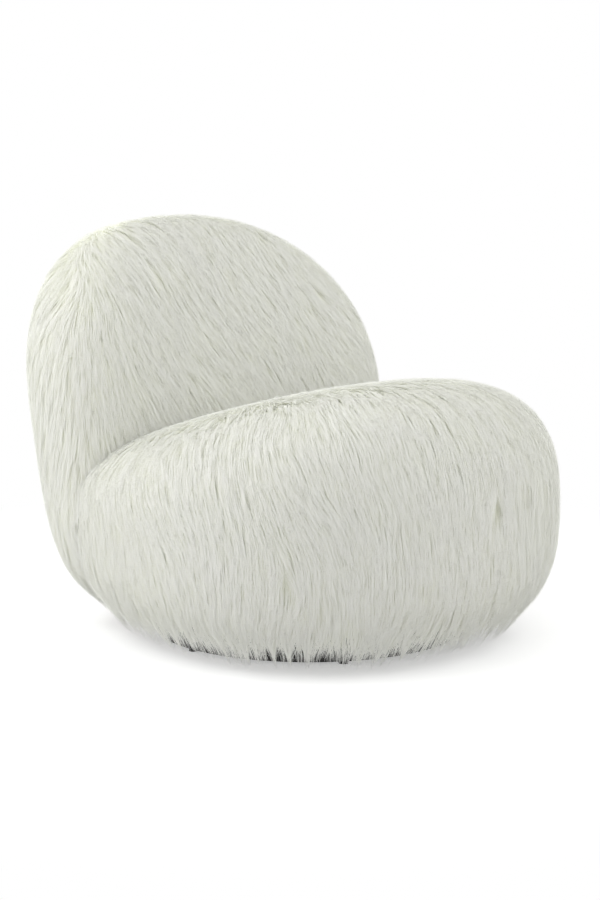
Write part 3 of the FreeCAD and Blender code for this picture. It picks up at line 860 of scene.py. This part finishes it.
def make_materials():
    """One material for each slot of the record."""
    return {
        "white_fur": fur_material(),
        "black_painted_wood": painted_wood(),
        "black_glide_plastic": plastic(
            "black_glide_plastic", (0.02, 0.02, 0.02), (0.04, 0.04, 0.04), (0.45, 0.65),
        ),
        "plywood": wood("plywood", (0.42, 0.29, 0.16), (0.68, 0.52, 0.33), (1, 0.12, 6)),
        "pine": wood("pine", (0.50, 0.33, 0.15), (0.74, 0.57, 0.34), (1, 1, 0.1)),
        "hardboard": felted("hardboard", (0.10, 0.055, 0.028), (0.22, 0.13, 0.07), 600),
        "zinc_steel": metal("zinc_steel", (0.52, 0.52, 0.50), (0.70, 0.70, 0.68), (0.28, 0.45)),
        "spring_steel": metal("spring_steel", (0.10, 0.10, 0.11), (0.22, 0.21, 0.20), (0.30, 0.55), 90),
        "ball_steel": metal("ball_steel", (0.72, 0.72, 0.73), (0.80, 0.80, 0.81), (0.06, 0.14), 200),
        "nylon": plastic("nylon", (0.66, 0.64, 0.57), (0.76, 0.74, 0.68), (0.35, 0.5)),
        "foam": foam("foam", (0.74, 0.64, 0.38), (0.84, 0.77, 0.54)),
        "soft_foam": foam("soft_foam", (0.80, 0.78, 0.70), (0.88, 0.87, 0.82)),
        "felt": felted("felt", (0.09, 0.085, 0.08), (0.24, 0.23, 0.22)),
        "webbing": woven("webbing", (0.012, 0.011, 0.010), (0.055, 0.05, 0.046)),
        "black_nonwoven": felted("black_nonwoven", (0.010, 0.010, 0.010), (0.04, 0.04, 0.04), 900),
    }


def dress_hardware():
    """Give each node of the model the material of its slot."""
    for part in frame["record"]["subparts"]:
        mesh = frame["nodes"][part["node"]].data
        mesh.materials.clear()
        mesh.materials.append(materials[part["material_slot"]])


def place_camera():
    """A long lens, low and from the sitter's right front."""
    data = bpy.data.cameras.new("camera")
    data.lens = CAMERA_LENS
    data.sensor_width = 36
    data.shift_x = CAMERA_SHIFT[0]
    data.shift_y = CAMERA_SHIFT[1]
    camera = bpy.data.objects.new("camera", data)
    bpy.context.scene.collection.objects.link(camera)
    aim(camera, Vector(CAMERA_TARGET), CAMERA_AZIMUTH, CAMERA_ELEVATION, CAMERA_DISTANCE)
    bpy.context.scene.camera = camera


def aim(obj, target, azimuth, elevation, distance):
    """Place a camera or lamp round a target, at degrees from straight ahead and up, and turn it there."""
    a, e = math.radians(azimuth), math.radians(elevation)
    back = Vector((math.sin(a) * math.cos(e), -math.cos(a) * math.cos(e), math.sin(e)))
    obj.location = target + back * distance
    obj.rotation_mode = "QUATERNION"
    obj.rotation_quaternion = (-back).to_track_quat("-Z", "Y")


def make_lights():
    """Large soft lamps: a strong one at the camera's left, and weaker ones at its right and overhead."""
    for name, azimuth, elevation, size, watts in (
        ("key", -115, 30, 3.2, 70),
        ("fill", 30, 30, 3.0, 32),
        ("top", -42, 80, 2.5, 5),
    ):
        data = bpy.data.lights.new(name, "AREA")
        data.size = size
        data.energy = watts
        lamp = bpy.data.objects.new(name, data)
        aim(lamp, Vector((0, 0, 0.35)), azimuth, elevation, LAMP_DISTANCE)
        bpy.context.scene.collection.objects.link(lamp)


def seen_straight(tree):
    """1 where a surface is seen directly, in a reflection or through glass, and 0 where it gives light."""
    path = tree.nodes.new("ShaderNodeLightPath")
    total = path.outputs["Is Camera Ray"]
    for other in ("Is Glossy Ray", "Is Transmission Ray"):
        most = tree.nodes.new("ShaderNodeMath")
        most.operation = "MAXIMUM"
        tree.links.new(total, most.inputs[0])
        tree.links.new(path.outputs[other], most.inputs[1])
        total = most.outputs["Value"]
    return total


def make_world():
    """White where it is seen, and a plain soft light for the object."""
    world = bpy.data.worlds.new("studio")
    bpy.context.scene.world = world
    world.use_nodes = True
    tree = world.node_tree
    light = next(node for node in tree.nodes if node.type == "BACKGROUND")
    output = next(node for node in tree.nodes if node.type == "OUTPUT_WORLD")
    light.inputs["Color"].default_value = (1, 1, 1, 1)
    light.inputs["Strength"].default_value = WORLD_LIGHT
    white = tree.nodes.new("ShaderNodeBackground")
    white.inputs["Color"].default_value = (1, 1, 1, 1)
    white.inputs["Strength"].default_value = 1.0
    mix = tree.nodes.new("ShaderNodeMixShader")
    tree.links.new(seen_straight(tree), mix.inputs["Fac"])
    tree.links.new(light.outputs[0], mix.inputs[1])
    tree.links.new(white.outputs[0], mix.inputs[2])
    tree.links.new(mix.outputs[0], output.inputs["Surface"])


def make_floor():
    """A pale floor that keeps the chair's shadow and turns white further off."""
    bpy.ops.mesh.primitive_plane_add(size=60, location=(0, 0, 0))
    floor = bpy.context.object
    floor.name = "floor"
    material, tree, shader = new_material("floor")
    shader.inputs["Base Color"].default_value = (0.70, 0.70, 0.70, 1)
    shader.inputs["Roughness"].default_value = 0.9
    white = tree.nodes.new("ShaderNodeEmission")
    white.inputs["Strength"].default_value = 1.0
    lift = tree.nodes.new("ShaderNodeEmission")
    tree.links.new(scaled(tree, seen_straight(tree), 0.0, FLOOR_LIFT), lift.inputs["Strength"])
    near = tree.nodes.new("ShaderNodeAddShader")
    tree.links.new(shader.outputs["BSDF"], near.inputs[0])
    tree.links.new(lift.outputs["Emission"], near.inputs[1])
    place = tree.nodes.new("ShaderNodeTexCoord")
    far = tree.nodes.new("ShaderNodeVectorMath")
    far.operation = "LENGTH"
    tree.links.new(place.outputs["Object"], far.inputs[0])
    fade = tree.nodes.new("ShaderNodeMapRange")
    fade.interpolation_type = "SMOOTHSTEP"
    fade.inputs["From Min"].default_value = FLOOR_FADE[0]
    fade.inputs["From Max"].default_value = FLOOR_FADE[1]
    tree.links.new(far.outputs["Value"], fade.inputs["Value"])
    both = tree.nodes.new("ShaderNodeMath")
    both.operation = "MULTIPLY"
    tree.links.new(fade.outputs["Result"], both.inputs[0])
    tree.links.new(seen_straight(tree), both.inputs[1])
    mix = tree.nodes.new("ShaderNodeMixShader")
    tree.links.new(both.outputs["Value"], mix.inputs["Fac"])
    tree.links.new(near.outputs["Shader"], mix.inputs[1])
    tree.links.new(white.outputs["Emission"], mix.inputs[2])
    output = next(node for node in tree.nodes if node.type == "OUTPUT_MATERIAL")
    tree.links.new(mix.outputs["Shader"], output.inputs["Surface"])
    floor.data.materials.append(material)


materials = make_materials()
dress_hardware()
make_skin("seat_fur_backing", SEAT, BACK, "seat_fur_cover", skin_material())
make_skin("back_fur_backing", BACK, SEAT, "back_fur_cover", bpy.data.materials["fur_backing"])
make_fur("seat_fur", SEAT, BACK, seat_comb, SEAT_SEED, materials["white_fur"])
make_fur("back_fur", BACK, SEAT, back_comb, BACK_SEED, materials["white_fur"])
for soft_node, soft_slot, voxel_size, smoothings in (
    ("seat_side_foam", "foam", 0.006, 3),
    ("seat_foam_block", "foam", 0.006, 3),
    ("back_front_foam", "foam", 0.006, 3),
    ("back_rear_foam", "foam", 0.006, 3),
    ("back_edge_foam", "foam", 0.006, 3),
    ("seat_soft_topper", "soft_foam", 0.006, 3),
    ("insulator_pad", "felt", 0.003, 2),
):
    softened(soft_node, soft_slot, voxel_size, smoothings)
dust_cover()
back_straps()

place_camera()
make_world()
make_lights()
make_floor()
bpy.context.scene.view_settings.view_transform = "Standard"
